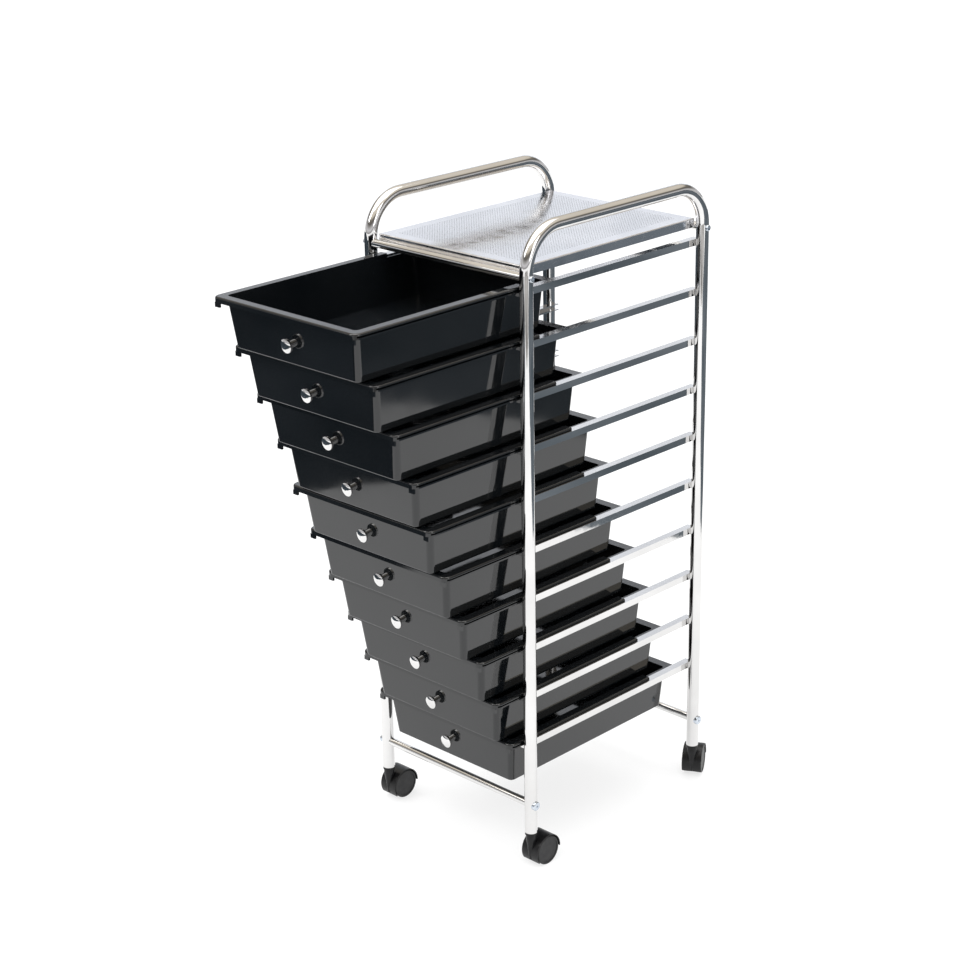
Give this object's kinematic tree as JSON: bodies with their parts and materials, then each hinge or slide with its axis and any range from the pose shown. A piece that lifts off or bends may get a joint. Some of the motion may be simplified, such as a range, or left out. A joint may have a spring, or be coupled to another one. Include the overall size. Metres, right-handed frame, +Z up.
{
  "type": "rolling salon trolley",
  "caption": "Narrow tubular chrome trolley with a perforated top shelf, side handles, stacked pull-out drawer trays with knobs, and hooded twin-wheel casters.",
  "frame": {"origin": "on the floor, midway between the four leg axes", "axes": "+Z up; the drawers open towards -Y; +X to the right seen from the drawer fronts"},
  "size_m": [0.3422, 0.7228, 0.9665],
  "materials": {
    "polished_chrome": "mirror-bright chrome plate on steel tube",
    "chromed_sheet": "bright chrome plate on finely perforated sheet",
    "plated_screws": "bluish bright zinc",
    "stem_steel": "plain turned steel",
    "socket_plastic": "moulded black nylon, satin",
    "drawer_plastic": "high-gloss moulded black",
    "caster_plastic": "moulded black nylon, satin",
    "wheel_plastic": "moulded grey nylon, satin"
  },
  "bodies": {
    "frame": {"leg_front_left": "polished_chrome", "leg_front_right": "polished_chrome", "leg_rear_left": "polished_chrome", "leg_rear_right": "polished_chrome", "handle_left": "polished_chrome", "handle_right": "polished_chrome", "top_crossbars": "polished_chrome", "bottom_crossbars": "polished_chrome", "rails_left": "polished_chrome", "rails_right": "polished_chrome", "top_shelf": "chromed_sheet", "frame_screws": "plated_screws", "caster_sockets": "socket_plastic", "caster_stems": "stem_steel"},
    "drawer_01": {"drawer_tray_01": "drawer_plastic", "drawer_knob_01": "polished_chrome", "knob_screw_01": "plated_screws"},
    "drawer_02": {"drawer_tray_02": "drawer_plastic", "drawer_knob_02": "polished_chrome", "knob_screw_02": "plated_screws"},
    "drawer_03": {"drawer_tray_03": "drawer_plastic", "drawer_knob_03": "polished_chrome", "knob_screw_03": "plated_screws"},
    "drawer_04": {"drawer_tray_04": "drawer_plastic", "drawer_knob_04": "polished_chrome", "knob_screw_04": "plated_screws"},
    "drawer_05": {"drawer_tray_05": "drawer_plastic", "drawer_knob_05": "polished_chrome", "knob_screw_05": "plated_screws"},
    "drawer_06": {"drawer_tray_06": "drawer_plastic", "drawer_knob_06": "polished_chrome", "knob_screw_06": "plated_screws"},
    "drawer_07": {"drawer_tray_07": "drawer_plastic", "drawer_knob_07": "polished_chrome", "knob_screw_07": "plated_screws"},
    "drawer_08": {"drawer_tray_08": "drawer_plastic", "drawer_knob_08": "polished_chrome", "knob_screw_08": "plated_screws"},
    "drawer_09": {"drawer_tray_09": "drawer_plastic", "drawer_knob_09": "polished_chrome", "knob_screw_09": "plated_screws"},
    "drawer_10": {"drawer_tray_10": "drawer_plastic", "drawer_knob_10": "polished_chrome", "knob_screw_10": "plated_screws"},
    "caster_front_left": {"caster_hood_front_left": "caster_plastic", "caster_axle_front_left": "stem_steel"},
    "outer_wheel_front_left": {"wheel_outer_front_left": "wheel_plastic"},
    "inner_wheel_front_left": {"wheel_inner_front_left": "wheel_plastic"},
    "caster_front_right": {"caster_hood_front_right": "caster_plastic", "caster_axle_front_right": "stem_steel"},
    "outer_wheel_front_right": {"wheel_outer_front_right": "wheel_plastic"},
    "inner_wheel_front_right": {"wheel_inner_front_right": "wheel_plastic"},
    "caster_rear_left": {"caster_hood_rear_left": "caster_plastic", "caster_axle_rear_left": "stem_steel"},
    "outer_wheel_rear_left": {"wheel_outer_rear_left": "wheel_plastic"},
    "inner_wheel_rear_left": {"wheel_inner_rear_left": "wheel_plastic"},
    "caster_rear_right": {"caster_hood_rear_right": "caster_plastic", "caster_axle_rear_right": "stem_steel"},
    "outer_wheel_rear_right": {"wheel_outer_rear_right": "wheel_plastic"},
    "inner_wheel_rear_right": {"wheel_inner_rear_right": "wheel_plastic"}
  },
  "joints": [
    {"name": "drawer_slide_01", "type": "slide", "parent": "frame", "child": "drawer_01", "axis": [0, -1, 0], "range_m": [-0.294, 0.011]},
    {"name": "drawer_slide_02", "type": "slide", "parent": "frame", "child": "drawer_02", "axis": [0, -1, 0], "range_m": [-0.264, 0.041]},
    {"name": "drawer_slide_03", "type": "slide", "parent": "frame", "child": "drawer_03", "axis": [0, -1, 0], "range_m": [-0.231, 0.074]},
    {"name": "drawer_slide_04", "type": "slide", "parent": "frame", "child": "drawer_04", "axis": [0, -1, 0], "range_m": [-0.199, 0.106]},
    {"name": "drawer_slide_05", "type": "slide", "parent": "frame", "child": "drawer_05", "axis": [0, -1, 0], "range_m": [-0.1745, 0.1305]},
    {"name": "drawer_slide_06", "type": "slide", "parent": "frame", "child": "drawer_06", "axis": [0, -1, 0], "range_m": [-0.146, 0.159]},
    {"name": "drawer_slide_07", "type": "slide", "parent": "frame", "child": "drawer_07", "axis": [0, -1, 0], "range_m": [-0.115, 0.19]},
    {"name": "drawer_slide_08", "type": "slide", "parent": "frame", "child": "drawer_08", "axis": [0, -1, 0], "range_m": [-0.081, 0.224]},
    {"name": "drawer_slide_09", "type": "slide", "parent": "frame", "child": "drawer_09", "axis": [0, -1, 0], "range_m": [-0.051, 0.254]},
    {"name": "drawer_slide_10", "type": "slide", "parent": "frame", "child": "drawer_10", "axis": [0, -1, 0], "range_m": [-0.022, 0.283]},
    {"name": "caster_swivel_front_left", "type": "hinge", "parent": "frame", "child": "caster_front_left", "pos_m": [-0.151, -0.187, 0.046], "axis": [0, 0, 1], "continuous": true},
    {"name": "outer_wheel_spin_front_left", "type": "hinge", "parent": "caster_front_left", "child": "outer_wheel_front_left", "pos_m": [-0.151, -0.166, 0.0223], "axis": [1, 0, 0], "continuous": true},
    {"name": "inner_wheel_spin_front_left", "type": "hinge", "parent": "caster_front_left", "child": "inner_wheel_front_left", "pos_m": [-0.151, -0.166, 0.0223], "axis": [1, 0, 0], "continuous": true},
    {"name": "caster_swivel_front_right", "type": "hinge", "parent": "frame", "child": "caster_front_right", "pos_m": [0.151, -0.187, 0.046], "axis": [0, 0, 1], "continuous": true},
    {"name": "outer_wheel_spin_front_right", "type": "hinge", "parent": "caster_front_right", "child": "outer_wheel_front_right", "pos_m": [0.151, -0.166, 0.0223], "axis": [1, 0, 0], "continuous": true},
    {"name": "inner_wheel_spin_front_right", "type": "hinge", "parent": "caster_front_right", "child": "inner_wheel_front_right", "pos_m": [0.151, -0.166, 0.0223], "axis": [1, 0, 0], "continuous": true},
    {"name": "caster_swivel_rear_left", "type": "hinge", "parent": "frame", "child": "caster_rear_left", "pos_m": [-0.151, 0.187, 0.046], "axis": [0, 0, 1], "continuous": true},
    {"name": "outer_wheel_spin_rear_left", "type": "hinge", "parent": "caster_rear_left", "child": "outer_wheel_rear_left", "pos_m": [-0.15537, 0.20754, 0.0223], "axis": [0.9781, 0.2079, 0], "continuous": true},
    {"name": "inner_wheel_spin_rear_left", "type": "hinge", "parent": "caster_rear_left", "child": "inner_wheel_rear_left", "pos_m": [-0.15537, 0.20754, 0.0223], "axis": [0.9781, 0.2079, 0], "continuous": true},
    {"name": "caster_swivel_rear_right", "type": "hinge", "parent": "frame", "child": "caster_rear_right", "pos_m": [0.151, 0.187, 0.046], "axis": [0, 0, 1], "continuous": true},
    {"name": "outer_wheel_spin_rear_right", "type": "hinge", "parent": "caster_rear_right", "child": "outer_wheel_rear_right", "pos_m": [0.14082, 0.20537, 0.0223], "axis": [0.8746, 0.4848, 0], "continuous": true},
    {"name": "inner_wheel_spin_rear_right", "type": "hinge", "parent": "caster_rear_right", "child": "inner_wheel_rear_right", "pos_m": [0.14082, 0.20537, 0.0223], "axis": [0.8746, 0.4848, 0], "continuous": true}
  ]
}
